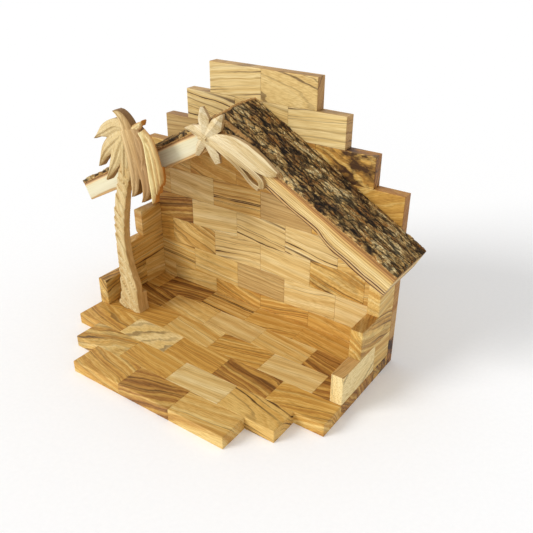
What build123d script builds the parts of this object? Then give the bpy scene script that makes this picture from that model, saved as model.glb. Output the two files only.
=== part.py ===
from build123d import *
from math import cos, pi, radians, sin, tan
import os

# Nativity stable of olive wood. Millimetres, +Z up, front towards -Y, origin under the roof's middle.
# Small bricks are glued in running bond into a base, a stepped back wall and two stepped side
# walls. Two bark-topped slabs make the roof, with a comet star on its front and a palm inside.

# Brickwork: a side wall's courses, bottom first, list their bricks forward from the back wall
BRICK_LENGTH = 39.6
BRICKS_ACROSS = 5
BASE_ROWS = 6
ROW_DEPTH = 19.8
FRONT_STEPS = 2
BASE_THICKNESS = 8.2
WALL_COURSES = 9
GABLE_STEPS = 3
COURSE_HEIGHT = 19.4
WALL_THICKNESS = 8.2
SIDE_BONDS = [[0.5, 1.0], [1.0], [0.5]]
EDGE_EASE = 0.8
WANE_RADIUS = 5.0

# Roof: the left slab's underside is the roof line, and the right slab reaches below it as far as a
# step in its underside. A slab's top falls from front to back, and the bark on it, in uneven
# lengthwise ridges, thickens towards the back of the ridge. The ridge is left of the brickwork's middle.
ROOF_SPAN = 241.3
ROOF_PITCH = 27.5
ROOF_DEPTH = 41.3
ROOF_SHIFT = 4.0
SIDE_ROOF_GAP = 15.6
EAVE_SET_BACK = 7.2
LEFT_SLAB_THICKNESS = 12.4
RIGHT_SLAB_THICKNESS = 14.5
RIGHT_SLAB_DROP = 1.0
STEP_PLACE = 84.0
STEP_LENGTH = 17.0
STEP_DEPTH = 3.4
SLAB_FALL = 3.6
BARK_EDGE = 2.8
BARK_CROWN = 5.6
RIDGE_LIFT = 6.6
BARK_RIDGES = 7
RIDGE_FLATS = 4
FURROW_DEPTH = 1.2
FURROW_STRAY = 1.3
FURROW_BEAT = 2.4
CREST_STRAY = 0.4
CREST_BEAT = 1.7

# Comet star: each ray is (direction in degrees, length, width at its shoulder), carved to a ridge
# with two flat facets. The tail's edges are places to the right of the star's middle and above it.
STAR_THICKNESS = 4.6
RAY_FALL = 0.08
FACET_FALL = 0.5
TAIL_THICKNESS = 3.0
STAR_SIDE_SHIFT = -2.7
STAR_RISE = 5.9
STAR_RAYS = [(96, 18.5, 9.0), (50, 21.0, 9.0), (163, 14.5, 8.0), (243, 12.0, 7.0), (299, 15.5, 7.6)]
RAY_SHOULDER = 8.0
RAY_TIP_WIDTH = 2.4
TAIL_UPPER_EDGE = [(-2.0, 4.0), (13.5, 5.4), (34.0, 0.3), (50.6, -9.3)]
TAIL_CUT_END = [(50.6, -9.3), (46.6, -12.4), (37.7, -12.3), (40.8, -19.2), (38.6, -22.5), (36.4, -23.2)]
TAIL_LOWER_EDGE = [(36.4, -23.2), (29.5, -15.8), (19.9, -9.7), (-2.0, -4.0)]
TAIL_SLOT = [(22.0, -8.6), (35.6, -15.0), (35.2, -18.6)]
STRAND_CUTS = [0.27, 0.52]
STRAND_DEPTH = 0.8

# Palm: trunk stations are (share of the way from foot to crown, lean to the right, width)
PALM_WALL_GAP = 5.4
PALM_ROOF_GAP = 8.4
PALM_THICKNESS = 6.6
FOOT_WIDTH = 20.0
FOOT_TOP_WIDTH = 17.0
FOOT_DEPTH = 10.5
FOOT_HEIGHT = 24.0
FOOT_LAP = 2.9
TRUNK_HEIGHT = 124.0
TRUNK_STATIONS = [(0.0, 2.5, 15.5), (0.145, 1.9, 12.4), (0.289, 0.3, 9.8), (0.506, 1.0, 9.4),
                  (0.699, 5.0, 9.6), (1.0, 14.0, 12.0)]
CHIP_ROWS = 8
CHIP_START = 0.15
CHIP_END = 0.70
CHIP_LENGTH = 4.6
CHIP_DEPTH = 0.7
CHIP_TILT = 38.0

# Crown: its heart lies by the trunk's top, and each frond is (tip to the right of the heart, tip
# above it, bow of the middle line, width). The three groups stand proud by different amounts. A
# frond has a ridge along its middle, and its shape is (share of the way to its tip, share of its width).
FROND_SHAPE = [(0.0, 1.0), (0.33, 1.06), (0.66, 0.86), (1.0, 0.12)]
FROND_RIDGE = 1.8
HEART_SHIFT = 1.4
HEART_RISE = 6.0
LEFT_FRONDS = [(-28.0, -6.5, 5.5, 9.0), (-27.0, -26.5, 6.0, 9.5), (-21.0, -34.6, 3.0, 10.0)]
LEFT_PROUD = 0.0
MIDDLE_FRONDS = [(-6.0, 14.5, 1.5, 9.0), (1.2, -40.6, -2.0, 10.0), (9.3, -42.8, -3.5, 10.0),
                 (14.5, -39.2, -5.5, 8.0)]
MIDDLE_PROUD = 1.6
RIGHT_FRONDS = [(15.5, 11.5, 1.5, 6.5), (22.0, -40.0, -8.0, 9.0), (28.0, -26.5, -9.0, 8.5)]
RIGHT_PROUD = 0.6

# Places worked out from the sizes
half_width = BRICKS_ACROSS * BRICK_LENGTH / 2
brick_middle = ROOF_SHIFT
depth = BASE_ROWS * ROW_DEPTH + WALL_THICKNESS
front = -depth / 2
wall_face = depth / 2 - WALL_THICKNESS
pitch = radians(ROOF_PITCH)
side_top = BASE_THICKNESS + len(SIDE_BONDS) * COURSE_HEIGHT
ridge = side_top + SIDE_ROOF_GAP + (brick_middle + half_width) * tan(pitch)
roof_front = wall_face - ROOF_DEPTH
eave = (ROOF_SPAN / 2 - EAVE_SET_BACK) / cos(pitch)
mitre_reach = RIGHT_SLAB_THICKNESS + BARK_CROWN + RIDGE_LIFT
right_top = RIGHT_SLAB_THICKNESS - RIGHT_SLAB_DROP

nodes = {}


def panel_outline(spans, step):
    """Corners of a panel whose courses, each one step high, cover the given spans."""
    low, high = spans[0]
    left = [(low, 0)]
    right = [(high, 0)]
    for level, (next_low, next_high) in enumerate(spans[1:], 1):
        if next_low != low:
            left += [(low, level * step), (next_low, level * step)]
        if next_high != high:
            right += [(high, level * step), (next_high, level * step)]
        low, high = next_low, next_high
    top = len(spans) * step
    return right + [(high, top), (low, top)] + left[::-1]


def panel(spans, step, thickness):
    """A glued-up panel before its bricks are told apart."""
    outline = Polyline(panel_outline(spans, step), close=True)
    return extrude(make_face(outline), thickness)


def bond(bricks, half_at_ends):
    """Brick lengths along one course, counted in whole bricks."""
    if half_at_ends:
        return [0.5] + [1.0] * (bricks - 1) + [0.5]
    return [1.0] * bricks


def course(sanded, level, start, lengths, step, thickness):
    """The bricks of one course, cut from the sanded panel at their glue joints."""
    bricks = []
    for length in lengths:
        end = start + length * BRICK_LENGTH
        cell = Box(end - start, step, thickness, align=Align.MIN)
        bricks.append((sanded & Pos(start, level * step, 0) * cell).solid())
        start = end
    return Compound(bricks)


# Base: rows run from the front, which steps in by half a brick a side, back to the wall
base_bricks = [BRICKS_ACROSS - max(0, FRONT_STEPS - row) for row in range(BASE_ROWS)]
base_spans = [(-count * BRICK_LENGTH / 2, count * BRICK_LENGTH / 2) for count in base_bricks]
base = panel(base_spans, ROW_DEPTH, BASE_THICKNESS)
base_rim = base.faces().sort_by(Axis.Z)[-1].edges().sort_by(Axis.Y)[:-1]
base = fillet(base_rim, EDGE_EASE)
for row, count in enumerate(base_bricks):
    lengths = bond(count, row > FRONT_STEPS and (row - FRONT_STEPS) % 2 == 1)
    bricks = course(base, row, base_spans[row][0], lengths, ROW_DEPTH, BASE_THICKNESS)
    nodes[f"base_row_{row + 1}"] = Pos(brick_middle, front, 0) * bricks

# Back wall: stands behind the base on the table, with a crow-stepped gable
last_full = WALL_COURSES - 1 - GABLE_STEPS
wall_bricks = [BRICKS_ACROSS - max(0, level - last_full) for level in range(WALL_COURSES)]
wall_spans = [(-count * BRICK_LENGTH / 2, count * BRICK_LENGTH / 2) for count in wall_bricks]
wall = panel(wall_spans, COURSE_HEIGHT, WALL_THICKNESS)
wall_rim = wall.faces().filter_by(Axis.Z).edges().filter_by(lambda edge: edge.center().Y > EDGE_EASE)
wall = fillet(wall_rim, EDGE_EASE)
wall_plane = Plane(origin=(brick_middle, depth / 2, 0), x_dir=(1, 0, 0), z_dir=(0, -1, 0))
for level, count in enumerate(wall_bricks):
    lengths = bond(count, level < last_full and (last_full - level) % 2 == 1)
    bricks = course(wall, level, wall_spans[level][0], lengths, COURSE_HEIGHT, WALL_THICKNESS)
    nodes[f"back_course_{level + 1}"] = wall_plane.location * bricks

# Side walls: stand on the base against the back wall and step down towards the front
side_spans = [(0, sum(lengths) * BRICK_LENGTH) for lengths in SIDE_BONDS]
side = panel(side_spans, COURSE_HEIGHT, WALL_THICKNESS)
side_rim = side.faces().filter_by(Axis.Z).edges()
side_rim = side_rim.filter_by(lambda edge: min(edge.center().X, edge.center().Y) > EDGE_EASE)
side = fillet(side_rim, EDGE_EASE)
side_seat = (brick_middle + half_width, wall_face, BASE_THICKNESS)
side_plane = Plane(origin=side_seat, x_dir=(0, -1, 0), z_dir=(-1, 0, 0))
mirror_plane = Plane.YZ.offset(brick_middle)
for level, lengths in enumerate(SIDE_BONDS):
    bricks = side_plane.location * course(side, level, 0, lengths, COURSE_HEIGHT, WALL_THICKNESS)
    nodes[f"right_wall_course_{level + 1}"] = bricks
    nodes[f"left_wall_course_{level + 1}"] = mirror(bricks, about=mirror_plane)

# The left wall's top brick keeps the branch's round along its lower outer edge
top_left = f"left_wall_course_{len(SIDE_BONDS)}"
brick_box = nodes[top_left].bounding_box()
low_edge = Pos(brick_box.min.X, brick_box.center().Y, brick_box.min.Z)
corner = Box(2 * WANE_RADIUS, brick_box.size.Y, 2 * WANE_RADIUS)
branch = Pos(WANE_RADIUS, 0, WANE_RADIUS) * Rot(90, 0, 0) * Cylinder(WANE_RADIUS, brick_box.size.Y)
nodes[top_left] = nodes[top_left].solid() - low_edge * (corner - branch)


def slab_top(top, back):
    """Height of the sawn slab above the roof line, at a distance back from the roof's front."""
    return top - SLAB_FALL * back / ROOF_DEPTH


def bark_top(top, back, along):
    """Height of the bark's ridges: fullest in the middle, and at the back thicker up the slope."""
    crown = (BARK_CROWN - BARK_EDGE) * sin(pi * back / ROOF_DEPTH)
    lift = RIDGE_LIFT * (1 - along / eave) * back / ROOF_DEPTH
    return slab_top(top, back) + BARK_EDGE + crown + lift


def furrow(place):
    """Distance of a furrow back from the roof's front, straying from an even spacing."""
    stray = FURROW_STRAY * sin(FURROW_BEAT * place) if 0 < place < BARK_RIDGES else 0
    return place * ROOF_DEPTH / BARK_RIDGES + stray


def crest(top, place, along):
    """Top of the bark ridge after a furrow, as (distance back, height)."""
    back = (furrow(place) + furrow(place + 1)) / 2
    return back, bark_top(top, back, along) + CREST_STRAY * sin(CREST_BEAT * place)


def bark_section(top, along):
    """Bark between the slab's top and a row of ridges, each broken into flats, parted by furrows."""
    valleys = []
    for place in range(BARK_RIDGES + 1):
        sunk = FURROW_DEPTH if 0 < place < BARK_RIDGES else 0
        valleys.append((furrow(place), bark_top(top, furrow(place), along) - sunk))
    corners = []
    for place in range(BARK_RIDGES):
        round_top = ThreePointArc(valleys[place], crest(top, place, along), valleys[place + 1])
        corners += [round_top @ (flat / RIDGE_FLATS) for flat in range(RIDGE_FLATS)]
    corners += [valleys[-1], (ROOF_DEPTH, slab_top(top, ROOF_DEPTH)), (0, slab_top(top, 0))]
    return make_face(Polyline(corners, close=True))


def slab_section(top, drop):
    """Sawn slab: flat underside, upright front and back, top falling to the back."""
    corners = [(0, -drop), (ROOF_DEPTH, -drop), (ROOF_DEPTH, slab_top(top, ROOF_DEPTH)), (0, top)]
    return make_face(Polyline(corners, close=True))


def across_slope(along):
    """Plane square to the right slope, at a distance down from the ridge along the roof line."""
    foot = (along * cos(pitch), roof_front, ridge - along * sin(pitch))
    return Plane(origin=foot, x_dir=(0, 1, 0), z_dir=(cos(pitch), 0, -sin(pitch)))


def right_half(upper, lower):
    """A run from one section down to another, mitred upright at the ridge and kept to the span."""
    run = loft([across_slope(-mitre_reach).location * upper, across_slope(eave).location * lower], ruled=True)
    run = split(run, bisect_by=Plane.YZ, keep=Keep.TOP)
    return split(run, bisect_by=Plane.YZ.offset(ROOF_SPAN / 2), keep=Keep.BOTTOM).solid()


def slab(top, drop):
    """One sawn slab on the right slope."""
    return right_half(slab_section(top, drop), slab_section(top, drop))


def bark(top):
    """The bark on one slab of the right slope."""
    return right_half(bark_section(top, -mitre_reach), bark_section(top, eave))


def step_cut():
    """What is taken from under the right slab, from the ridge down to the step."""
    low = -RIGHT_SLAB_DROP
    high = low + STEP_DEPTH
    begin = (STEP_PLACE - STEP_LENGTH / 2, high)
    bend = (STEP_PLACE, (low + high) / 2)
    finish = (STEP_PLACE + STEP_LENGTH / 2, low)
    curve = Spline(begin, bend, finish, tangents=((1, 0), (1, -STEP_DEPTH / STEP_LENGTH)))
    below = low - STEP_DEPTH
    close = Polyline(finish, (finish[0], below), (-mitre_reach, below), (-mitre_reach, high), begin)
    slope = Plane(origin=(0, roof_front, ridge), x_dir=(cos(pitch), 0, -sin(pitch)), z_dir=(0, -1, 0))
    return slope.location * extrude(make_face([curve, close]), -ROOF_DEPTH)


# Roof: two live-edge slabs glued to the back wall, meeting at an upright mitre
nodes["roof_slab_right"] = (slab(right_top, RIGHT_SLAB_DROP) - step_cut()).solid()
nodes["roof_bark_right"] = bark(right_top)
nodes["roof_slab_left"] = mirror(slab(LEFT_SLAB_THICKNESS, 0), about=Plane.YZ)
nodes["roof_bark_left"] = mirror(bark(LEFT_SLAB_THICKNESS), about=Plane.YZ)


def ray(direction, length, width):
    """Kite-shaped ray from the star's middle to a blunt tip, with a facet on each side of its ridge."""
    half = width / 2
    tip = RAY_TIP_WIDTH / 2
    corners = [(-half / 2, -half / 2), (RAY_SHOULDER, -half), (length, -tip), (length, tip),
               (RAY_SHOULDER, half), (-half / 2, half / 2)]
    blank = extrude(make_face(Polyline(corners, close=True)), STAR_THICKNESS)
    for side in (-1, 1):
        facet = Plane(origin=(0, 0, STAR_THICKNESS), z_dir=(RAY_FALL, side * FACET_FALL, 1))
        blank = split(blank, bisect_by=facet, keep=Keep.BOTTOM)
    return Rot(0, 0, direction) * blank


def tail_face():
    """Comet tail: a broad upper strand and a longer slim one, parted by a notch and a slot."""
    upper = Spline(TAIL_UPPER_EDGE)
    cut_end = Polyline(TAIL_CUT_END)
    lower = Spline(TAIL_LOWER_EDGE)
    close = Line(TAIL_LOWER_EDGE[-1], TAIL_UPPER_EDGE[0])
    return make_face([upper, cut_end, lower, close]) - make_face(Polyline(TAIL_SLOT, close=True))


def strand_cut(share):
    """A groove along the tail, at a share of the way from its upper edge to its lower one."""
    places = []
    for upper, lower in zip(TAIL_UPPER_EDGE, reversed(TAIL_LOWER_EDGE)):
        places.append(Vector(*upper) + (Vector(*lower) - Vector(*upper)) * share)
    line = Pos(0, 0, TAIL_THICKNESS) * Spline(places)
    side = STRAND_DEPTH * 2 ** 0.5
    start = Plane(origin=line @ 0, x_dir=(0, 0, 1), z_dir=line % 0)
    return sweep(start.location * Rot(0, 0, 45) * Rectangle(side, side), path=line)


# Comet star: one carved piece glued flat to the front of both slabs under the ridge
star = extrude(tail_face(), TAIL_THICKNESS) - [strand_cut(share) for share in STRAND_CUTS]
for direction, length, width in STAR_RAYS:
    star = star + ray(direction, length, width)
star_seat = (STAR_SIDE_SHIFT, roof_front, ridge + STAR_RISE)
star_plane = Plane(origin=star_seat, x_dir=(1, 0, 0), z_dir=(0, -1, 0))
nodes["comet_star"] = (star_plane.location * star).solid()

# Palm: seen from the front in its own plane, with the middle of its foot at the origin
palm_front = roof_front - PALM_ROOF_GAP - PALM_THICKNESS
palm_left = brick_middle - half_width + WALL_THICKNESS + PALM_WALL_GAP
palm_seat = (palm_left + FOOT_WIDTH / 2, palm_front, BASE_THICKNESS)
palm_plane = Plane(origin=palm_seat, x_dir=(1, 0, 0), z_dir=(0, -1, 0))
trunk_start = FOOT_HEIGHT - FOOT_LAP
trunk_run = TRUNK_HEIGHT - trunk_start
heart = Pos(TRUNK_STATIONS[-1][1] + HEART_SHIFT, TRUNK_HEIGHT + HEART_RISE, 0)


def frond(across, rise, bow, width, proud):
    """A drooping leaf lofted from the heart to its tip, with a ridge above two sloping sides."""
    length = (across ** 2 + rise ** 2) ** 0.5
    belly = (across / 2 + bow * rise / length, rise / 2 - bow * across / length)
    middle = Spline((0, 0), belly, (across, rise))
    sections = []
    for share, breadth in FROND_SHAPE:
        half = breadth * width / 2
        side = proud - FROND_RIDGE * breadth
        corners = [(-half, -PALM_THICKNESS), (half, -PALM_THICKNESS), (half, side), (0, proud), (-half, side)]
        place = middle @ share
        way = middle % share
        square = Plane(origin=place, x_dir=(-way.Y, way.X, 0), z_dir=way)
        sections.append(square.location * make_face(Polyline(corners, close=True)))
    return loft(sections)


def trunk_line(side):
    """A line up the trunk: its left edge at -1, its middle at 0, its right edge at 1."""
    places = []
    for share, lean, width in TRUNK_STATIONS:
        places.append((lean + side * width / 2, trunk_start + share * trunk_run))
    return Spline(places)


def trunk():
    """Trunk with a slow double bend, widening into the crown."""
    left = trunk_line(-1)
    right = trunk_line(1)
    return make_face([left, Line(left @ 1, right @ 1), right, Line(right @ 0, left @ 0)])


def foot():
    """Flared foot, deeper than the board, tapering up into the trunk."""
    low = Rectangle(FOOT_WIDTH, FOOT_DEPTH)
    high = Rectangle(FOOT_TOP_WIDTH, PALM_THICKNESS)
    low_place = Pos(0, FOOT_DEPTH / 2, 0)
    high_place = Pos((FOOT_WIDTH - FOOT_TOP_WIDTH) / 2, PALM_THICKNESS / 2, FOOT_HEIGHT)
    return Rot(-90, 0, 0) * loft([low_place * low, high_place * high])


def chips():
    """Slanting chip cuts up the trunk, in pairs that meet on its middle line."""
    cuts = []
    middle = trunk_line(0)
    side = CHIP_DEPTH * 2 ** 0.5
    groove = Rot(45, 0, 0) * Box(CHIP_LENGTH, side, side)
    for row in range(CHIP_ROWS):
        place = middle @ (CHIP_START + (CHIP_END - CHIP_START) * row / (CHIP_ROWS - 1))
        for hand in (-1, 1):
            slant = Pos(place.X + hand * CHIP_LENGTH / 2, place.Y, 0) * Rot(0, 0, hand * CHIP_TILT)
            cuts.append(slant * groove)
    return cuts


palm = Pos(0, 0, -PALM_THICKNESS) * extrude(trunk(), PALM_THICKNESS) + foot()
for fronds, proud in ((LEFT_FRONDS, LEFT_PROUD), (MIDDLE_FRONDS, MIDDLE_PROUD), (RIGHT_FRONDS, RIGHT_PROUD)):
    for across, rise, bow, width in fronds:
        palm = palm + heart * frond(across, rise, bow, width, proud)
palm = palm - chips()
nodes["palm_tree"] = (palm_plane.location * palm).solid()

os.makedirs("parts", exist_ok=True)
for name, shape in nodes.items():
    export_step(shape, os.path.join("parts", name + ".step"))
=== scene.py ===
import math
import random
import bmesh
import bpy
import numpy as np
from mathutils import Euler, Matrix, Vector


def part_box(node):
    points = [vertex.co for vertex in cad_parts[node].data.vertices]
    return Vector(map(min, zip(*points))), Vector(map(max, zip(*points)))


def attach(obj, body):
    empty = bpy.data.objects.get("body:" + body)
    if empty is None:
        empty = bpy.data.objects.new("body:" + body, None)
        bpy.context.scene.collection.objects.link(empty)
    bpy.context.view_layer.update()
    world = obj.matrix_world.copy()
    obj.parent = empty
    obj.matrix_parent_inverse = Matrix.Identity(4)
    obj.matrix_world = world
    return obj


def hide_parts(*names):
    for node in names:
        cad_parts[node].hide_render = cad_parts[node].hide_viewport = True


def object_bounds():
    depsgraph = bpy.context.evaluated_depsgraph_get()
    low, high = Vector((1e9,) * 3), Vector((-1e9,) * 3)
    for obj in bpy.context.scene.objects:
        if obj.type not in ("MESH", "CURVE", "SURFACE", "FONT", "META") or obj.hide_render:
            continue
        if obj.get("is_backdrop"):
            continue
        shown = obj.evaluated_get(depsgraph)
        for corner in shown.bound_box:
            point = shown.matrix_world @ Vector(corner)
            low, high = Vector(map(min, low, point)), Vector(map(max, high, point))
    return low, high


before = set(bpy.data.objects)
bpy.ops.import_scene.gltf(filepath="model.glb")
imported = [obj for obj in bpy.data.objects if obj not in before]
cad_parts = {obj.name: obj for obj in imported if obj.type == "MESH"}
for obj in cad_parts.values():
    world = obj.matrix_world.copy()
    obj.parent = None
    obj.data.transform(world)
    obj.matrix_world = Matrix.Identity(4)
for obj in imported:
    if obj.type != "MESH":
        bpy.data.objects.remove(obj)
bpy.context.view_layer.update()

# Base. Twenty-nine olive-wood bricks, each about 40 by 20 by 8 mm, are glued edge to edge in
# running bond, six rows deep, with a stepped front. The panel is sanded flush and oiled, so a
# joint shows as a hairline and as a change of tone and figure from one brick to the next.
MM = 0.001
PER_METRE = 1000.0


def linear(colour):
    """An sRGB hex colour as linear light."""
    channels = [int(colour[place:place + 2], 16) / 255 for place in (1, 3, 5)]
    return [c / 12.92 if c <= 0.04045 else ((c + 0.055) / 1.055) ** 2.4 for c in channels] + [1.0]


def feed(tree, node, values):
    """Values or links for a node's inputs, in order or by key.

    A node given as a value links by the first of its outputs in use.
    """
    for key, value in values.items() if isinstance(values, dict) else enumerate(values):
        if isinstance(value, bpy.types.Node):
            value = next(output for output in value.outputs if output.enabled)
        if isinstance(value, bpy.types.NodeSocket):
            tree.links.new(value, node.inputs[key])
        else:
            node.inputs[key].default_value = value


def add(tree, kind, values=(), stops=(), **settings):
    """A node with its settings, its input values or links, and its ramp's colour stops.

    A shader node goes by its short name, with any operation after a colon, such as Math:ADD, and
    another node goes by its full name. What is mixed is always a colour.
    """
    kind, operation = kind.partition(":")[::2]
    node = tree.nodes.new(kind if "Node" in kind else "ShaderNode" + kind)
    if operation:
        node.operation = operation
    if kind == "Mix":
        node.data_type = "RGBA"
    for name, value in settings.items():
        setattr(node, name, value)
    feed(tree, node, values)
    for place, (position, colour) in enumerate(stops):
        if place > 1:
            node.color_ramp.elements.new(position)
        node.color_ramp.elements[place].position = position
        node.color_ramp.elements[place].color = linear(colour)
    return node


def new_material(name):
    """A material with its nodes, ready to be filled."""
    material = bpy.data.materials.new(name)
    material.use_nodes = True
    return material


def grow_olive(tree, log, swirl):
    """Olive wood as it grew, in a log's own millimetres with Z up its trunk.

    Gives soft growth bands, thin dark figure lines and fibres, each from 0 to 1. Real fibres are too
    fine to show in the render, so they are drawn about half a millimetre wide.
    """
    # Rates per mm across and up the trunk: bends of 33 and 83 mm, a ring's wavers of 4 and 22 mm,
    # figure that comes and goes over 17 and 62 mm, and fibres 0.5 mm wide and 22 mm long
    bend_rates = (0.03, 0.03, 0.012)
    waver_rates = (0.24, 0.24, 0.045)
    figure_rates = (0.06, 0.06, 0.016)
    fibre_rates = (1.9, 1.9, 0.045)
    # A ring wavers by 2.4 mm, growth zones are 5 mm wide, and a figure line comes about every 2.8 mm,
    # at a pace that changes over 8 mm
    waver_size = 2.4
    zone_rate = 0.2
    line_rate = 0.36
    pace_rate = 0.12
    pace_size = 4.0
    broad = add(tree, "VectorMath:MULTIPLY", [log, bend_rates])
    drift = add(tree, "TexNoise", {"Vector": broad, "Scale": 1.0, "Detail": 2.0})
    even = add(tree, "VectorMath:SUBTRACT", [drift.outputs[1], (0.5, 0.5, 0.5)])
    shove = add(tree, "VectorMath:SCALE", {0: even, "Scale": swirl})
    bent = add(tree, "VectorMath:ADD", [log, shove])
    flat = add(tree, "VectorMath:MULTIPLY", [bent, (1.0, 1.0, 0.0)])
    radius = add(tree, "VectorMath:LENGTH", [flat])
    close = add(tree, "VectorMath:MULTIPLY", [bent, waver_rates])
    waver = add(tree, "TexNoise", {"Vector": close, "Scale": 1.0, "Detail": 3.0})
    ring = add(tree, "Math:MULTIPLY_ADD", [waver, waver_size, radius])
    bands = add(tree, "TexNoise", {"W": ring, "Scale": zone_rate, "Detail": 4.0, "Roughness": 0.72},
                noise_dimensions="1D")
    pace = add(tree, "TexNoise", {"W": ring, "Scale": pace_rate, "Detail": 1.0}, noise_dimensions="1D")
    paced = add(tree, "Math:MULTIPLY", [pace, pace_size])
    years = add(tree, "Math:MULTIPLY_ADD", [ring, line_rate, paced])
    season = add(tree, "Math:FRACT", [years])
    year = add(tree, "Math:FLOOR", [years])
    chance = add(tree, "TexWhiteNoise", {"W": year}, noise_dimensions="1D")
    bold = add(tree, "ValToRGB", [chance], [(0.2, "#262626"), (0.62, "#FFFFFF")])
    late = add(tree, "ValToRGB", [season],
               [(0.3, "#000000"), (0.68, "#404040"), (0.8, "#FFFFFF"), (0.95, "#FFFFFF"), (1.0, "#000000")])
    lines = add(tree, "Math:MULTIPLY", [late, bold])
    patch = add(tree, "VectorMath:MULTIPLY", [bent, figure_rates])
    shown = add(tree, "TexNoise", {"Vector": patch, "Scale": 1.0, "Detail": 1.0})
    inked = add(tree, "ValToRGB", [shown], [(0.36, "#7A7A7A"), (0.55, "#FFFFFF")])
    drawn = add(tree, "Math:MULTIPLY", [lines, inked])
    thin = add(tree, "VectorMath:MULTIPLY", [bent, fibre_rates])
    fibres = add(tree, "TexNoise", {"Vector": thin, "Scale": 1.0, "Detail": 3.0})
    return bands, drawn, fibres


def oil_finish(material, colour, fibres, streaks, amount=1.0):
    """Hand-rubbed oil on planed wood: streaks, and a satin surface with the fibres just standing."""
    standing = 0.08 * MM
    tree = material.node_tree
    streaked = add(tree, "ValToRGB", [fibres], streaks)
    grained = add(tree, "Mix", {0: amount, 6: colour, 7: streaked}, blend_type="MULTIPLY")
    sheen = add(tree, "MapRange", [fibres, 0.3, 0.7, 0.62, 0.48])
    grain = add(tree, "Bump", {"Height": fibres, "Strength": 0.3, "Distance": standing})
    feed(tree, tree.nodes["Principled BSDF"],
         {"Base Color": grained, "Roughness": sheen, "Normal": grain, "Specular IOR Level": 0.35})


# Olive wood of the bricks, planed and oiled: straw to dark brown, with near-black figure lines, burl
# stains over about 8 mm across and 17 mm up the trunk, and browner wood on sawn edges
burl_rates = (0.12, 0.12, 0.06)
brick_wood = new_material("olive_wood_bricks")
wood = brick_wood.node_tree
log_place = add(wood, "Attribute", attribute_name="log").outputs["Vector"]
look = {name: add(wood, "Attribute", attribute_name=name).outputs["Fac"]
        for name in ("tone", "warmth", "zones", "figure", "swirl", "stain", "edge")}
bands, lines, fibres = grow_olive(wood, log_place, look["swirl"])
lift = add(wood, "MapRange", [bands, 0.34, 0.66, -0.22, 0.38])
depth = add(wood, "Math:MULTIPLY_ADD", [lift, look["zones"], look["tone"]])
golden = add(wood, "ValToRGB", [depth],
             [(0.0, "#EFD9A0"), (0.25, "#E4C276"), (0.48, "#D0A04C"), (0.74, "#A87432"), (1.0, "#744818")])
greyed = add(wood, "ValToRGB", [depth],
             [(0.0, "#EBDCB0"), (0.25, "#D4BA84"), (0.5, "#B69A68"), (0.76, "#8E7248"), (1.0, "#64492A")])
hue = add(wood, "Mix", {0: look["warmth"], 6: greyed, 7: golden})
ink = add(wood, "Math:MULTIPLY", [lines, look["figure"]])
lined = add(wood, "Mix", {0: ink, 6: hue, 7: linear("#4C2C10")})
burl_place = add(wood, "VectorMath:MULTIPLY", [log_place, burl_rates])
burl = add(wood, "TexNoise", {"Vector": burl_place, "Scale": 1.0, "Detail": 4.0, "Roughness": 0.68})
blotch = add(wood, "MapRange", [burl, 0.44, 0.6, 0.0, look["stain"]])
stained = add(wood, "Mix", {0: blotch, 6: lined, 7: linear("#3C2210")})
rough_sawn = add(wood, "Mix", {0: look["edge"], 6: stained, 7: linear("#BA9058")}, blend_type="MULTIPLY")
oil_finish(brick_wood, rough_sawn, fibres, [(0.3, "#DDD2BC"), (0.6, "#FFFFFF")])

# A brick as it was cut: tone from pale to dark, warmth, strength of its growth zones and of its dark
# figure lines, how flat it was sawn to the rings, tilt to the trunk in degrees, distance from the pith
# and size of its swirls in mm, strength of its burl stain, and how close its rings lie
cuts = {
    "pale": (0.12, 0.55, 0.3, 0.2, 0.2, 6, 70, 6, 0, 1),
    "cream": (0.06, 0.95, 0.35, 0.55, 0.8, 10, 32, 12, 0, 1),
    "straw": (0.2, 0.58, 0.4, 0.4, 0.3, 8, 70, 8, 0, 1),
    "honey": (0.3, 0.85, 0.6, 0.5, 0.3, 9, 60, 8, 0, 1),
    "gold": (0.4, 1, 0.8, 0.55, 0.5, 12, 50, 10, 0, 1),
    "amber": (0.44, 1, 0.6, 0.4, 0.3, 10, 50, 10, 0, 1),
    "brown": (0.56, 0.9, 1, 0.7, 0.4, 12, 42, 12, 0.15, 1),
    "smoky": (0.45, 0.3, 0.35, 0.3, 0.1, 4, 90, 4, 0, 1.4),
    "lined": (0.21, 0.5, 0.35, 1, 0, 9, 90, 9, 0, 1),
    "ruled": (0.16, 0.65, 0.2, 0.8, 0.1, 5, 90, 6, 0, 0.8),
    "striped": (0.34, 0.85, 0.7, 1, 0, 4, 120, 4, 0, 1.7),
    "arched": (0.24, 0.5, 0.25, 0.75, 0.9, 9, 24, 5, 0, 1),
    "looped": (0.36, 0.95, 0.3, 1, 0.7, 12, 26, 9, 0, 1),
    "swirled": (0.3, 0.8, 0.7, 0.6, 0.5, 24, 22, 24, 0, 1),
    "figured": (0.34, 1, 0.8, 0.8, 0.5, 14, 30, 14, 0.3, 1),
    "burl": (0.44, 1, 0.9, 0.9, 0.6, 18, 14, 18, 0.95, 1),
}


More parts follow.
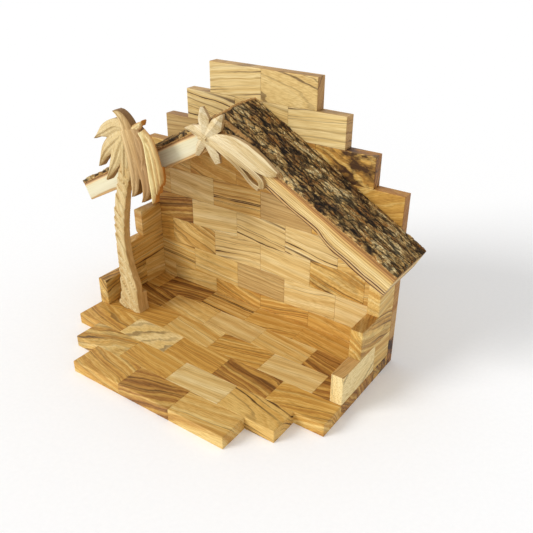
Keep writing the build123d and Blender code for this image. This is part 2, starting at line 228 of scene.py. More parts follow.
def brick_course_tree():
    """Geometry Nodes: a brick on each point, with weights to ease its rim edges and just break its joints.

    An edge of the bricks lies on the rim within 0.1 mm, and it is sharp where it bends by half a radian.
    """
    on_rim = 0.1 * MM
    sharp = 0.5
    tree = bpy.data.node_groups.new("brick_course", "GeometryNodeTree")
    for name, kind in (("Points", "Geometry"), ("Rim", "Object"), ("Joint Ease", "Float"),
                       ("Wood", "Material")):
        tree.interface.new_socket(name=name, in_out="INPUT", socket_type="NodeSocket" + kind)
    tree.interface.new_socket(name="Bricks", in_out="OUTPUT", socket_type="NodeSocketGeometry")
    given = add(tree, "NodeGroupInput").outputs
    noted = {name: add(tree, "GeometryNodeInputNamedAttribute", {"Name": name}, data_type="FLOAT_VECTOR")
             for name in ("size", "middle", "turn", "pith", "planed")}
    here = add(tree, "GeometryNodeInputPosition")
    marked = add(tree, "GeometryNodeStoreNamedAttribute",
                 {"Geometry": given["Points"], "Name": "middle", "Value": here},
                 data_type="FLOAT_VECTOR", domain="POINT")
    block = add(tree, "GeometryNodeMeshCube", {"Vertices X": 3, "Vertices Y": 3, "Vertices Z": 2})
    laid = add(tree, "GeometryNodeInstanceOnPoints",
               {"Points": marked, "Instance": block, "Scale": noted["size"]})
    bricks = add(tree, "GeometryNodeRealizeInstances", {"Geometry": laid})
    offset = add(tree, "VectorMath:SUBTRACT", [here, noted["middle"]])
    close = add(tree, "GeometryNodeInputNamedAttribute", {"Name": "close"}, data_type="FLOAT")
    scale = add(tree, "Math:MULTIPLY", [close, PER_METRE])
    measure = add(tree, "VectorMath:SCALE", {0: offset, "Scale": scale})
    turned = add(tree, "VectorRotate", {"Vector": measure, "Rotation": noted["turn"]},
                 rotation_type="EULER_XYZ")
    place = add(tree, "VectorMath:ADD", [turned, noted["pith"]])
    grown = add(tree, "GeometryNodeStoreNamedAttribute",
                {"Geometry": bricks, "Name": "log", "Value": place},
                data_type="FLOAT_VECTOR", domain="POINT")
    facing = add(tree, "GeometryNodeInputNormal")
    along_planed = add(tree, "VectorMath:DOT_PRODUCT", [facing, noted["planed"]])
    flush = add(tree, "Math:ABSOLUTE", [along_planed])
    sawn = add(tree, "Math:SUBTRACT", [1.0, flush])
    faced = add(tree, "GeometryNodeStoreNamedAttribute",
                {"Geometry": grown, "Name": "edge", "Value": sawn}, data_type="FLOAT", domain="FACE")
    rim = add(tree, "GeometryNodeObjectInfo", {"Object": given["Rim"]})
    reach = add(tree, "GeometryNodeProximity", {0: rim.outputs["Geometry"], "Sample Position": here},
                target_element="EDGES")
    outer = add(tree, "Math:LESS_THAN", [reach.outputs["Distance"], on_rim])
    wide = add(tree, "Math:MAXIMUM", [outer, given["Joint Ease"]])
    bend = add(tree, "GeometryNodeInputMeshEdgeAngle")
    corner = add(tree, "Math:GREATER_THAN", [bend, sharp])
    ease = add(tree, "Math:MULTIPLY", [wide, corner])
    eased = add(tree, "GeometryNodeStoreNamedAttribute",
                {"Geometry": faced, "Name": "bevel_weight_edge", "Value": ease},
                data_type="FLOAT", domain="EDGE")
    smooth = add(tree, "GeometryNodeSetShadeSmooth", {"Geometry": eased})
    dressed = add(tree, "GeometryNodeSetMaterial", {"Geometry": smooth, "Material": given["Wood"]})
    add(tree, "NodeGroupOutput", {"Bricks": dressed})
    return tree


course_tree = brick_course_tree()


def in_scene(name, data):
    """An object with its data, put in the scene."""
    thing = bpy.data.objects.new(name, data)
    bpy.context.scene.collection.objects.link(thing)
    return thing


def finished(maker, name):
    """The maker object's evaluated shape as a plain piece at the origin."""
    bpy.context.view_layer.update()
    graph = bpy.context.evaluated_depsgraph_get()
    mesh = bpy.data.meshes.new_from_object(maker.evaluated_get(graph), preserve_all_data_layers=True,
                                           depsgraph=graph)
    bpy.data.objects.remove(maker)
    return in_scene(name, mesh)


def rim_line(paths):
    """A panel's outer edges, in mm, for the bricks to find."""
    corners = [tuple(value * MM for value in point) for path in paths for point in path]
    edges = []
    start = 0
    for path in paths:
        edges += [(start + step, start + step + 1) for step in range(len(path) - 1)]
        start += len(path)
    mesh = bpy.data.meshes.new("rim")
    mesh.from_pydata(corners, edges, [])
    return in_scene("rim", mesh)


def cut_brick(label, name, axis, size):
    """How a brick lies in its log, and its look, from a fixed seed."""
    chance = random.Random(label)
    shade, warm, zoned, strength, flat, tilt, reach, swirl, stain, close = cuts[name]
    lying = 1 if size.z < size.y and axis == 0 else 0
    side = math.pi / 2 * (flat + lying) + chance.uniform(-0.3, 0.3) + chance.choice((0, math.pi))
    upright = Matrix.Rotation(-math.pi / 2, 3, "Y")
    if axis == 1:
        upright = upright @ Matrix.Rotation(-math.pi / 2, 3, "Z")
    slant = math.radians(tilt) * chance.uniform(0.6, 1.0) * chance.choice((-1, 1))
    lean = Matrix.Rotation(slant, 3, (-math.sin(side), math.cos(side), 0))
    return {"turn": tuple((lean @ upright).to_euler()),
            "pith": (reach * math.cos(side), reach * math.sin(side), chance.uniform(0, 4000)),
            "tone": (shade + chance.uniform(-0.04, 0.04),), "warmth": (warm,), "zones": (zoned,),
            "figure": (strength,), "swirl": (swirl,), "stain": (stain,), "close": (close,)}


def give_values(mesh, values):
    """Numbers for each point of a mesh, under their names."""
    for name, numbers in values.items():
        vector = len(numbers) > len(mesh.vertices)
        layer = mesh.attributes.new(name, "FLOAT_VECTOR" if vector else "FLOAT", "POINT")
        layer.data.foreach_set("vector" if vector else "value", numbers)


def bond(names):
    """The lengths of a course's bricks: six of them have a half brick at each end."""
    if len(names) == 6:
        return [0.5, 1, 1, 1, 1, 0.5]
    return [1] * len(names)


def lay_course(node, axis, shares, names, rim, planed):
    """One course of bricks, filling its node's box along the axis, each cut as named.

    planed is 1 along each axis whose faces are planed smooth, and less where they are left more as
    sawn. The rim's edges are eased by 0.8 mm, and those at the joints by a share of that.
    """
    rim_ease = 0.8 * MM
    joint_share = 0.3
    low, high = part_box(node)
    step = (high[axis] - low[axis]) / sum(shares)
    values = {}
    centres = []
    start = low[axis]
    for place, (share, name) in enumerate(zip(shares, names)):
        centre = (low + high) / 2
        size = high - low
        centre[axis] = start + share * step / 2
        size[axis] = share * step
        start += share * step
        centres.append(centre)
        values.setdefault("size", []).extend(size)
        values.setdefault("planed", []).extend(planed)
        for key, numbers in cut_brick(node + str(place), name, axis, size).items():
            values.setdefault(key, []).extend(numbers)
    mesh = bpy.data.meshes.new(node + "_points")
    mesh.from_pydata(centres, [], [])
    give_values(mesh, values)
    maker = in_scene(node + "_maker", mesh)
    nodes = maker.modifiers.new("course", "NODES")
    nodes.node_group = course_tree
    inputs = {item.name: item.identifier for item in course_tree.interface.items_tree}
    nodes[inputs["Rim"]] = rim
    nodes[inputs["Joint Ease"]] = joint_share
    nodes[inputs["Wood"]] = brick_wood
    easing = maker.modifiers.new("ease", "BEVEL")
    easing.width = rim_ease
    easing.segments = 2
    easing.limit_method = "WEIGHT"
    easing.harden_normals = True
    piece = finished(maker, node + "_bricks")
    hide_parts(node)
    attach(piece, "root")


base_top = 8.2
base_outline = [(-95, 55.3), (-95, -23.9), (-75.2, -23.9), (-75.2, -43.7), (-55.4, -43.7), (-55.4, -63.5),
                (63.4, -63.5), (63.4, -43.7), (83.2, -43.7), (83.2, -23.9), (103, -23.9), (103, 55.3)]
base_rim = rim_line([[(across, along, base_top) for across, along in base_outline]])
base_rows = (("gold", "brown", "honey"),
             ("figured", "amber", "straw", "looped"),
             ("gold", "cream", "amber", "brown", "gold"),
             ("gold", "amber", "honey", "gold", "straw", "brown"),
             ("brown", "honey", "straw", "honey", "brown"),
             ("amber", "brown", "striped", "gold", "amber", "burl"))
for row, names in enumerate(base_rows, 1):
    lay_course(f"base_row_{row}", 0, bond(names), names, base_rim, (1, 1, 1))
bpy.data.objects.remove(base_rim)

# Back wall. Forty-two bricks of the same olive wood stand on edge in nine courses behind the base,
# and the top three step in to a crow-stepped gable. The maker mixed pale sapwood bricks with
# smoky and burled ones.
wall_outline = [(-95, 0), (-95, 116.4), (-75.2, 116.4), (-75.2, 135.8), (-55.4, 135.8), (-55.4, 155.2),
                (-35.6, 155.2), (-35.6, 174.6), (43.6, 174.6), (43.6, 155.2), (63.4, 155.2),
                (63.4, 135.8), (83.2, 135.8), (83.2, 116.4), (103, 116.4), (103, 0)]
wall_front, wall_back = 55.3, 63.5
wall_rim = rim_line([[(across, along, up) for across, up in wall_outline]
                     for along in (wall_front, wall_back)])
wall_courses = (("honey", "honey", "gold", "gold", "amber", "burl"),
                ("striped", "honey", "smoky", "straw", "pale"),
                ("amber", "swirled", "lined", "straw", "figured", "honey"),
                ("brown", "straw", "lined", "lined", "honey"),
                ("honey", "straw", "striped", "smoky", "gold", "honey"),
                ("honey", "gold", "amber", "honey", "amber"),
                ("smoky", "straw", "gold", "burl"),
                ("lined", "straw", "ruled"),
                ("lined", "arched"))
for course, names in enumerate(wall_courses, 1):
    lay_course(f"back_course_{course}", 0, bond(names), names, wall_rim, (0.3, 1, 0.4))
bpy.data.objects.remove(wall_rim)

# Side walls. Four bricks on each side stand on the base against the back wall, in three courses
# that step down towards the front. The top brick on the left was cut at the edge of its log, so
# its lower outer corner is the rounded outside of the branch.
side_outline = [(55.3, 8.2), (-4.1, 8.2), (-4.1, 27.6), (15.7, 27.6), (15.7, 47.0), (35.5, 47.0),
                (35.5, 66.4), (55.3, 66.4)]
side_faces = (-95, -86.8, 94.8, 103)
side_rim = rim_line([[(across, along, up) for along, up in side_outline] for across in side_faces])
side_courses = (("left_wall_course_1", [1, 0.5], ("figured", "honey"), 0.7),
                ("left_wall_course_2", [1], ("striped",), 0.7),
                ("right_wall_course_1", [1, 0.5], ("cream", "honey"), 0.3),
                ("right_wall_course_2", [1], ("figured",), 0.5),
                ("right_wall_course_3", [0.5], ("honey",), 0.7))
for course, shares, names, top_planed in side_courses:
    lay_course(course, 1, shares, names, side_rim, (1, 1, top_planed))
bpy.data.objects.remove(side_rim)


def cad_copy(node, arris):
    """A maker object with a node's own solid, merged, and its arrises, in mm, to be taken off."""
    same_place = 0.001 * MM
    same_plane = 0.01
    shell = bmesh.new()
    shell.from_mesh(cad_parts[node].data)
    bmesh.ops.remove_doubles(shell, verts=shell.verts, dist=same_place)
    bmesh.ops.dissolve_limit(shell, angle_limit=same_plane, verts=shell.verts, edges=shell.edges)
    mesh = bpy.data.meshes.new(node + "_copy")
    shell.to_mesh(mesh)
    shell.free()
    mesh.shade_smooth()
    maker = in_scene(node + "_maker", mesh)
    bevel = maker.modifiers.new("arris", "BEVEL")
    bevel.width = arris * MM
    bevel.segments = 2
    bevel.harden_normals = True
    return maker


low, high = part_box("left_wall_course_3")
wane_arris = 0.4
wane_end_sawn = 0.45
wane = cad_copy("left_wall_course_3", wane_arris)
wane_cut = cut_brick("wane", "honey", 1, high - low)
turned = Euler(wane_cut.pop("turn")).to_matrix()
pith = Vector(wane_cut.pop("pith"))
wane_values = {key: list(numbers) * len(wane.data.vertices) for key, numbers in wane_cut.items()}
wane_values["log"] = [number for corner in wane.data.vertices
                      for number in turned @ ((corner.co - (low + high) / 2) / MM) + pith]
give_values(wane.data, wane_values)
sawn_end = wane.data.attributes.new("edge", "FLOAT", "FACE")
for place, side in enumerate(wane.data.polygons):
    sawn_end.data[place].value = wane_end_sawn * abs(side.normal.y)
wane.data.materials.append(brick_wood)
wane_brick = finished(wane, "left_wall_course_3_brick")
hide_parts("left_wall_course_3")
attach(wane_brick, "root")

# Roof slabs. Two sawn boards with the bark left on top meet in a mitre at the ridge and are glued
# to the back wall. The left one is clean cream sapwood, and the right one shows dark growth lines
# along its lower edge and a brown band of inner bark under the crust.
pitch = math.radians(27.5)
ridge_line = 135.62
slab_tops = {"left": 12.4, "right": 13.5}


def slab_board(side, step, under, figure, layers):
    """One slab: its solid with the arrises taken off, in wood whose layers follow the bark.

    Its underside rises by a step on the way up to the ridge, and the layers bend with it. Sawn and
    oiled sapwood is cream to straw, and browner in the layers next to the bark.
    """
    node = "roof_slab_" + side
    out = 1 if side == "right" else -1
    arris = 0.5
    # In mm: the log's heart below the slab, its middle in the depth, and the step's place down the slope
    heart = 45
    bottom, top = heart + under, heart + slab_tops[side]
    middle = 25
    step_start, step_end = 76, 92
    # The layers sway over about 10 mm across them, 33 mm in the depth and 38 mm down the slope
    sway_rates = (0.1, 0.03, 0.026)
    material = new_material("olive_sapwood_" + side)
    tree = material.node_tree
    here = add(tree, "TexCoord")
    slope = Matrix(((out * math.sin(pitch), 0, math.cos(pitch)), (0, -out, 0),
                    (out * math.cos(pitch), 0, -math.sin(pitch))))
    log = add(tree, "Mapping",
              {"Vector": here.outputs["Object"], "Rotation": slope.to_euler(), "Scale": [PER_METRE] * 3,
               "Location": (heart - ridge_line * math.cos(pitch), out * middle,
                            ridge_line * math.sin(pitch))})
    bands, lines, fibres = grow_olive(tree, log, 5.0)
    long = add(tree, "VectorMath:MULTIPLY", [log, sway_rates])
    sway = add(tree, "TexNoise", {"Vector": long, "Scale": 1.0, "Detail": 3.0, "Roughness": 0.55})
    level = add(tree, "SeparateXYZ", [log])
    loose = add(tree, "MapRange", [level, bottom, top, 6.0, 1.5])
    even = add(tree, "Math:SUBTRACT", [sway, 0.5])
    swayed = add(tree, "Math:MULTIPLY_ADD", [even, loose, level])
    stepped = add(tree, "MapRange",
                  [level.outputs[2], step_start, step_end, bottom + step, bottom],
                  interpolation_type="SMOOTHSTEP")
    share = add(tree, "MapRange", [swayed, stepped, top])
    layered = add(tree, "ValToRGB", [share], layers)
    growth = add(tree, "ValToRGB", [bands], [(0.35, "#E2CFA6"), (0.6, "#FFFFFF")])
    grown = add(tree, "Mix", {0: 2.2 * figure, 6: layered, 7: growth}, blend_type="MULTIPLY")
    ink = add(tree, "Math:MULTIPLY", [lines, figure])
    lined = add(tree, "Mix", {0: ink, 6: grown, 7: linear("#7A4E24")})
    oil_finish(material, lined, fibres, [(0.3, "#D6CBB6"), (0.62, "#FFFFFF")], 0.2 + 2 * figure)
    maker = cad_copy(node, arris)
    maker.data.materials.append(material)
    piece = finished(maker, node + "_board")
    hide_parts(node)
    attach(piece, "root")


slab_board("left", 0.0, 0.0, 0.05,
           [(0.0, "#D2AC72"), (0.06, "#B88F58"), (0.13, "#DBD0AC"), (0.3, "#DFD8BA"), (0.8, "#DDD5B2"),
            (0.86, "#E6CC98"), (0.93, "#AC8050"), (1.0, "#8C643C")])
slab_board("right", 3.4, -1.0, 0.35,
           [(0.0, "#D3B27A"), (0.07, "#DDBD84"), (0.09, "#5E3C1E"), (0.125, "#6B4524"), (0.15, "#DDBB82"),
            (0.2, "#D2AE74"), (0.22, "#55361A"), (0.255, "#5E3C1E"), (0.275, "#E4C890"), (0.31, "#E4C890"),
            (0.325, "#7A5630"), (0.345, "#E0C282"), (0.42, "#E8D094"), (0.435, "#A47C44"),
            (0.45, "#EAD49A"), (0.5, "#EED9A0"), (0.515, "#B48C50"), (0.53, "#EED9A0"),
            (0.585, "#ECD69C"), (0.6, "#A87E44"), (0.615, "#EAD294"), (0.69, "#E0C280"),
            (0.71, "#9C7038"), (0.73, "#DDBD7A"), (0.8, "#D8B068"), (0.83, "#946436"),
            (0.87, "#CC9E5C"), (0.93, "#8E6232"), (1.0, "#B88A48")])

# Bark. The crust that grew on each slab is left as it was: long broken ridges and furrows down the
# slope, near black, with tan, ochre and cream flecks where scales have rubbed off. A brown line of
# inner bark shows below it along the cut edges and at the ridge.


def bark_tree():
    """Geometry Nodes: a block bent to the slope, its top broken into lengthwise scales."""
    # Rates per mm down the slope and across it: lumps of 22 by 7 mm, scales of 20 by 4 mm and crumbs of
    # 5 by 1.7 mm. The grid's cells are about half a millimetre.
    lump_rates = (0.045, 0.14, 1.0)
    scale_rates = (0.05, 0.26, 1.0)
    crumb_rates = (0.2, 0.6, 1.0)
    grid = {"Vertices X": 230, "Vertices Y": 84, "Vertices Z": 4}
    # The strip where the crust has peeled off: its middle, and its rates for 12 by 2 mm either way
    peel_middle = (17.0, 8.0, 0.0)
    peel_rates = (0.08, 0.5, 0.0)
    tree = bpy.data.node_groups.new("bark_crust", "GeometryNodeTree")
    for name in ("Eave", "Depth", "Front", "Ridge", "Pitch", "Span", "Slab", "Fall", "Edge", "Crown",
                 "Lift", "Furrow", "Peeled", "Side"):
        tree.interface.new_socket(name=name, in_out="INPUT", socket_type="NodeSocketFloat")
    tree.interface.new_socket(name="Bark", in_out="INPUT", socket_type="NodeSocketMaterial")
    tree.interface.new_socket(name="Crust", in_out="OUTPUT", socket_type="NodeSocketGeometry")
    given = add(tree, "NodeGroupInput").outputs
    block = add(tree, "GeometryNodeMeshCube", grid)
    here = add(tree, "GeometryNodeInputPosition")
    share = add(tree, "VectorMath:ADD", [here, (0.5, 0.5, 0.5)])
    parts = add(tree, "SeparateXYZ", [share]).outputs
    length = add(tree, "Math:MULTIPLY", [parts[0], given["Eave"]])
    width = add(tree, "Math:MULTIPLY", [parts[1], given["Depth"]])
    spot = add(tree, "CombineXYZ", [length, width, given["Slab"]])
    long = add(tree, "VectorMath:MULTIPLY", [spot, lump_rates])
    roam = add(tree, "TexNoise", {"Vector": long, "Scale": 1.0, "Detail": 3.0})
    stray = add(tree, "VectorMath:SCALE", {0: roam.outputs[1], "Scale": 7.0})
    strayed = add(tree, "VectorMath:ADD", [spot, stray])
    scaled = add(tree, "VectorMath:MULTIPLY", [strayed, scale_rates])
    scales = add(tree, "TexVoronoi", {"Vector": scaled, "Scale": 1.0},
                 feature="DISTANCE_TO_EDGE")
    plate = add(tree, "MapRange", [scales, 0.0, 0.3], interpolation_type="SMOOTHSTEP")
    rough = add(tree, "VectorMath:MULTIPLY", [strayed, crumb_rates])
    crumbs = add(tree, "TexNoise", {"Vector": rough, "Scale": 1.0, "Detail": 5.0, "Roughness": 0.7})
    arch = add(tree, "Math:MULTIPLY", [parts[1], math.pi])
    arched = add(tree, "Math:SINE", [arch])
    lumps = add(tree, "Math:MULTIPLY", [roam, 2.2])
    crown = add(tree, "Math:MULTIPLY", [arched, lumps])
    rise = add(tree, "Math:MULTIPLY_ADD", [crown, given["Crown"], given["Edge"]])
    broken = add(tree, "Math:MULTIPLY", [plate, crumbs])
    trimmed = add(tree, "MapRange", [length, 0.0, 7.0, 0.25, 1.0])
    whole = add(tree, "Math:MULTIPLY", [broken, trimmed])
    from_peel = add(tree, "VectorMath:SUBTRACT", [strayed, peel_middle])
    peel_share = add(tree, "VectorMath:MULTIPLY", [from_peel, peel_rates])
    peel_reach = add(tree, "VectorMath:LENGTH", [peel_share])
    peel = add(tree, "MapRange", [peel_reach, 1.0, 0.8, 0.0, given["Peeled"]])
    kept = add(tree, "Math:SUBTRACT", [1.0, peel])
    cut = add(tree, "Math:MULTIPLY", [whole, kept])
    upper = add(tree, "Math:SUBTRACT", [1.0, parts[0]])
    corner_share = add(tree, "Math:MULTIPLY", [upper, parts[1]])
    lifted = add(tree, "Math:MULTIPLY_ADD", [corner_share, given["Lift"], rise])
    crust = add(tree, "Math:MULTIPLY_ADD", [cut, given["Furrow"], lifted])
    layer = add(tree, "Math:MULTIPLY", [parts[2], crust])
    drop = add(tree, "Math:MULTIPLY", [parts[1], given["Fall"]])
    board = add(tree, "Math:SUBTRACT", [given["Slab"], drop])
    above = add(tree, "Math:ADD", [board, layer])
    slant = add(tree, "Math:TANGENT", [given["Pitch"]])
    lean = add(tree, "Math:MULTIPLY", [above, slant])
    back = add(tree, "Math:MULTIPLY", [lean, upper])
    along = add(tree, "Math:SUBTRACT", [length, back])
    local = add(tree, "CombineXYZ", [along, width, above])
    sloped = add(tree, "VectorRotate", {"Vector": local, "Angle": given["Pitch"]}, rotation_type="Y_AXIS")
    edge = add(tree, "CombineXYZ", [given["Span"], given["Depth"], given["Depth"]])
    squared = add(tree, "VectorMath:MINIMUM", [sloped, edge])
    mirror = add(tree, "CombineXYZ", [given["Side"], 1.0, 1.0])
    handed = add(tree, "VectorMath:MULTIPLY", [squared, mirror])
    corner = add(tree, "CombineXYZ", [0.0, given["Front"], given["Ridge"]])
    placed = add(tree, "VectorMath:ADD", [handed, corner])
    metres = add(tree, "VectorMath:SCALE", {0: placed, "Scale": MM})
    tall = add(tree, "CombineXYZ", [length, width, layer])
    known = block
    for name, value, kind in (("crust", tall, "FLOAT_VECTOR"), ("scale", cut, "FLOAT"),
                              ("peel", peel, "FLOAT")):
        known = add(tree, "GeometryNodeStoreNamedAttribute",
                    {"Geometry": known, "Name": name, "Value": value}, data_type=kind, domain="POINT")
    bent = add(tree, "GeometryNodeSetPosition", {"Geometry": known, "Position": metres})
    left = add(tree, "Math:LESS_THAN", [given["Side"], 0.0])
    turned = add(tree, "GeometryNodeFlipFaces", {"Mesh": bent, "Selection": left})
    smooth = add(tree, "GeometryNodeSetShadeSmooth", {"Geometry": turned})
    real = add(tree, "GeometryNodeRealizeInstances", {"Geometry": smooth})
    dressed = add(tree, "GeometryNodeSetMaterial", {"Geometry": real, "Material": given["Bark"]})
    add(tree, "NodeGroupOutput", {"Crust": dressed})
    return tree


# Bark: a dull near-black crust, rubbed scales in tan and cream, brown inner bark underneath, and
# painted shade that darkens its furrows. Rates per mm down the slope, across it and up: the pattern
# strays over 7 by 3 mm, crumbs are 4 by 1.25 mm, pale and dark zones 33 by 14 mm, flecks 2.2 by
# 0.5 mm, coarse enough to show, and rust 10 by 3 mm.
stray_rates = (0.15, 0.3, 0.0)
bark_crumb_rates = (0.26, 0.8, 0.8)
bark_zone_rates = (0.03, 0.07, 0.0)
fleck_rates = (0.45, 1.9, 1.9)
rust_rates = (0.1, 0.3, 0.3)
grit_height = 0.5 * MM
bark = new_material("olive_bark")
skin = bark.node_tree
spot = add(skin, "Attribute", attribute_name="crust").outputs["Vector"]
scale = add(skin, "Attribute", attribute_name="scale").outputs["Fac"]
peel = add(skin, "Attribute", attribute_name="peel").outputs["Fac"]
wide_place = add(skin, "VectorMath:MULTIPLY", [spot, stray_rates])
wander = add(skin, "TexNoise", {"Vector": wide_place, "Scale": 1.0, "Detail": 3.0})
pushed = add(skin, "VectorMath:SCALE", {0: wander.outputs[1], "Scale": 6.0})
moved = add(skin, "VectorMath:ADD", [spot, pushed])
crumb_place = add(skin, "VectorMath:MULTIPLY", [moved, bark_crumb_rates])
crumb = add(skin, "TexVoronoi", {"Vector": crumb_place, "Scale": 1.0})
crack = add(skin, "TexVoronoi", {"Vector": crumb_place, "Scale": 1.0}, feature="DISTANCE_TO_EDGE")
zone_place = add(skin, "VectorMath:MULTIPLY", [spot, bark_zone_rates])
zone = add(skin, "TexNoise", {"Vector": zone_place, "Scale": 1.0, "Detail": 2.0})
zoned = add(skin, "MapRange", [zone, 0.36, 0.62, -0.28, 0.24])
fleck_place = add(skin, "VectorMath:MULTIPLY", [moved, fleck_rates])
fleck_roam = add(skin, "TexNoise", {"Vector": fleck_place, "Scale": 1.0, "Detail": 4.0, "Roughness": 0.7})
toned = add(skin, "Math:MULTIPLY_ADD", [crumb.outputs["Color"], 0.55, zoned])
mottled = add(skin, "Math:MULTIPLY_ADD", [fleck_roam, 0.7, toned])
crust_hue = add(skin, "ValToRGB", [mottled],
                [(0.2, "#1C1610"), (0.36, "#40301F"), (0.48, "#7E603A"), (0.6, "#AA864E"),
                 (0.74, "#CEA868"), (0.9, "#E2CA94")])
rust_place = add(skin, "VectorMath:MULTIPLY", [moved, rust_rates])
rust_roam = add(skin, "TexNoise", {"Vector": rust_place, "Scale": 1.0, "Detail": 5.0, "Roughness": 0.7})
rust = add(skin, "MapRange", [rust_roam, 0.5, 0.62, 0.0, 0.75])
rusted = add(skin, "Mix", {0: rust, 6: crust_hue, 7: linear("#A66E30")})
# Darker along the cracks between the crumbs, where the bump sinks them
cracked = add(skin, "MapRange", [crack, 0.0, 0.12, 0.7, 0.0])
crack_darkened = add(skin, "Mix", {0: cracked, 6: rusted, 7: linear("#1A1613")})
# Painted shade: where the crust lies low in its furrows it goes nearly black, over the bark's own dark
# colour, except where it has peeled
furrow = add(skin, "MapRange", [scale, 0.03, 0.24, 0.85, 0.0])
bare = add(skin, "Math:SUBTRACT", [1.0, peel])
shaded = add(skin, "Math:MULTIPLY", [furrow, bare])
crust_with_furrow_shade = add(skin, "Mix", {0: shaded, 6: crack_darkened, 7: linear("#14110E")})
rise = add(skin, "SeparateXYZ", [spot])
ragged = add(skin, "Math:MULTIPLY_ADD", [wander, 1.6, rise.outputs[2]])
low_bark = add(skin, "MapRange", [ragged, 1.5, 1.8, 1.0, 0.0])
ridge = add(skin, "Math:MULTIPLY_ADD", [fleck_roam, 4.0, rise])
ridge_cut = add(skin, "MapRange", [ridge, 3.0, 3.6, 1.0, 0.0])
opened = add(skin, "Math:MAXIMUM", [ridge_cut, peel])
inner = add(skin, "Math:MAXIMUM", [low_bark, opened])
inner_hue = add(skin, "ValToRGB", [fleck_roam],
                [(0.3, "#865E36"), (0.5, "#B8884E"), (0.7, "#DCB87A")])
coloured = add(skin, "Mix", {0: inner, 6: crust_with_furrow_shade, 7: inner_hue})
dull = add(skin, "MapRange", [scale, 0.0, 0.6, 0.98, 0.8])
raised = add(skin, "MapRange", [crack, 0.0, 0.25])
grit = add(skin, "Math:MULTIPLY_ADD", [fleck_roam, 1.2, raised])
gritty = add(skin, "Bump", {"Height": grit, "Strength": 0.7, "Distance": grit_height})
feed(skin, skin.nodes["Principled BSDF"],
     {"Base Color": coloured, "Roughness": dull, "Normal": gritty, "Specular IOR Level": 0.2})

crust_tree = bark_tree()
for side, out in (("left", -1.0), ("right", 1.0)):
    node = "roof_bark_" + side
    maker = in_scene(node + "_maker", bpy.data.meshes.new(node + "_maker"))
    nodes = maker.modifiers.new("crust", "NODES")
    nodes.node_group = crust_tree
    inputs = {item.name: item.identifier for item in crust_tree.interface.items_tree}
    for name, value in (("Eave", 113.45 / math.cos(pitch)), ("Depth", 41.3), ("Front", 14.0),
                        ("Ridge", ridge_line), ("Pitch", pitch), ("Span", 120.6),
                        ("Slab", slab_tops[side]), ("Fall", 3.6), ("Edge", 2.2), ("Crown", 1.6),
                        ("Lift", 6.6), ("Furrow", 1.7), ("Peeled", 1.0 if out > 0 else 0.0), ("Side", out),
                        ("Bark", bark)):
        nodes[inputs[name]] = value
    piece = finished(maker, node + "_crust")
    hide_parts(node)
    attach(piece, "root")

# Comet star. One piece of pale sapwood is sawn to shape and carved by knife: five tapering rays with
# a ridge along each, and a broad tail split into strands that follow the grain. It is glued flat to
# the fronts of both slabs under the ridge.


def strip(stations, front, back, columns=15, steps=24):
    """A carved strip's points, in mm to the right, towards the viewer and up, and its faces.

    Stations are (right, up, width) along its middle. front gives the height over the place along
    it and across it, from -1 on its left to 1, and back is the level or levels it is flat to. One
    step from station to station gives straight facets, and more give a curve.
    """
    narrowest = 0.5
    stations = np.array(stations, float)
    rows = steps * (len(stations) - 1) + 1
    fine = np.linspace(0, len(stations) - 1, rows)
    pads = np.vstack([2 * stations[0] - stations[1], stations, 2 * stations[-1] - stations[-2]])
    cell = np.minimum(fine.astype(int), len(stations) - 2)
    part = (fine - cell)[:, None]
    p0, p1, p2, p3 = (pads[cell + step] for step in range(4))
    path = 0.5 * (2 * p1 + (p2 - p0) * part + (2 * p0 - 5 * p1 + 4 * p2 - p3) * part ** 2
                  + (3 * p1 - p0 - 3 * p2 + p3) * part ** 3)
    ahead = np.gradient(path[:, :2], axis=0)
    ahead /= np.linalg.norm(ahead, axis=1)[:, None]
    right = np.stack([ahead[:, 1], -ahead[:, 0]], axis=1)
    across = np.linspace(-1, 1, columns)
    along = np.linspace(0, 1, rows)
    half = np.maximum(path[:, 2], narrowest) / 2
    plan = path[:, None, :2] + right[:, None] * (half[:, None] * across[None])[:, :, None]
    top = front(along[:, None], across[None], plan)
    low = np.broadcast_to(np.reshape(back(along) if callable(back) else back, (-1, 1)), top.shape)
    points = [np.stack([plan[:, :, 0], level, plan[:, :, 1]], axis=2).reshape(-1, 3)
              for level in (top, low)]
    grid = np.arange(rows * columns).reshape(rows, columns)
    quads = np.stack([grid[:-1, :-1], grid[1:, :-1], grid[1:, 1:], grid[:-1, 1:]], axis=2).reshape(-1, 4)
    loop = np.concatenate([grid[0], grid[1:, -1], grid[-1, -2::-1], grid[-2:0:-1, 0]])
    walls = np.stack([loop, np.roll(loop, -1), np.roll(loop, -1) + grid.size, loop + grid.size], axis=1)
    return np.vstack(points), np.vstack([quads, quads[:, ::-1] + grid.size, walls])


def block_out(name, corner, strips):
    """Strips as closed shells in one maker object, set out from a corner on the face they sit on."""
    shell = bmesh.new()
    for points, faces in strips:
        places = [shell.verts.new(Vector((corner[0] + right, corner[1] - out, corner[2] + up)) * MM)
                  for right, out, up in points]
        for face in faces:
            shell.faces.new([places[index] for index in face])
    bmesh.ops.recalc_face_normals(shell, faces=shell.faces)
    mesh = bpy.data.meshes.new(name)
    shell.to_mesh(mesh)
    shell.free()
    mesh.shade_smooth()
    return in_scene(name + "_maker", mesh)


